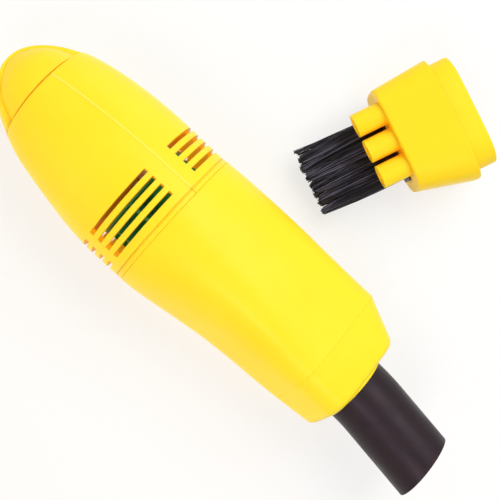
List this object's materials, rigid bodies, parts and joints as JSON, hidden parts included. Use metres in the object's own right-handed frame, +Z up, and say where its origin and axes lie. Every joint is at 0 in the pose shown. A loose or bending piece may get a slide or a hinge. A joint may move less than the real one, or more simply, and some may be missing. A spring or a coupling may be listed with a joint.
{
  "type": "desk vacuum cleaner",
  "caption": "Hand-sized desk vacuum with a domed tail, slotted motor body, pull-off dust cup, short bent nozzle tube, and a separate brush head with air pipes.",
  "frame": {"origin": "on the table, below the widest ring of the body, at the joint of the shells and the dust cup", "axes": "+X along the body from the tail to the nozzle, +Z up from the table"},
  "size_m": [0.167, 0.1142, 0.0452],
  "materials": {
    "shell_plastic": "bright yellow moulded ABS, satin",
    "tube_plastic": "black heat-shrink style PVC tube, satin",
    "bush_rubber": "black rubber",
    "dark_plastic": "black moulded plastic",
    "bristle_nylon": "black nylon bristles",
    "fan_plastic": "green moulded plastic",
    "frame_plastic": "white moulded plastic",
    "mesh_cloth": "fine white nylon mesh",
    "screw_steel": "plain steel",
    "can_steel": "drawn steel, zinc plated",
    "core_iron": "stacked iron sheets",
    "magnet_ferrite": "dark ferrite",
    "copper_wire": "enamelled copper",
    "brass": "plain brass",
    "carbon": "pressed carbon",
    "capacitor_clay": "dipped ceramic disc",
    "wire_skin": "red insulated wire"
  },
  "bodies": {
    "root": {"upper_shell": "shell_plastic", "lower_shell": "shell_plastic", "tail_cap": "shell_plastic", "cord_bush": "bush_rubber", "shell_screw": "screw_steel", "motor_can": "can_steel", "motor_magnets": "magnet_ferrite", "motor_end_cap": "dark_plastic", "motor_terminals": "brass", "front_bushing": "brass", "rear_bushing": "brass", "motor_brushes": "carbon", "motor_capacitor": "capacitor_clay", "motor_plate": "shell_plastic", "plate_screws": "screw_steel", "switch_body": "dark_plastic", "switch_contacts": "brass", "motor_lead": "wire_skin"},
    "rotor": {"motor_shaft": "screw_steel", "armature_core": "core_iron", "armature_windings": "copper_wire", "commutator": "copper_wire", "impeller": "fan_plastic"},
    "switch": {"switch_slider": "shell_plastic"},
    "cup": {"dust_cup": "shell_plastic", "filter_frame": "frame_plastic", "filter_mesh": "mesh_cloth"},
    "nose": {"nose_cap": "shell_plastic", "nozzle_tube": "tube_plastic"},
    "brush": {"brush_head": "shell_plastic", "bristle_bar": "dark_plastic", "brush_bristles": "bristle_nylon"}
  },
  "joints": [
    {"name": "fan_spin", "type": "hinge", "parent": "root", "child": "rotor", "pos_m": [-0.01, 0, 0.0226], "axis": [1, 0, 0], "continuous": true},
    {"name": "switch_slide", "type": "slide", "parent": "root", "child": "switch", "axis": [1, 0, 0], "range_m": [0, 0.003]},
    {"name": "cup_pull", "type": "slide", "parent": "root", "child": "cup", "axis": [1, 0, 0], "range_m": [0, 0.04]},
    {"name": "nose_pull", "type": "slide", "parent": "cup", "child": "nose", "axis": [1, 0, 0], "range_m": [0, 0.04]},
    {"name": "brush_lift", "type": "slide", "parent": "root", "child": "brush", "axis": [0, 0, 1], "range_m": [0, 0.05]}
  ]
}
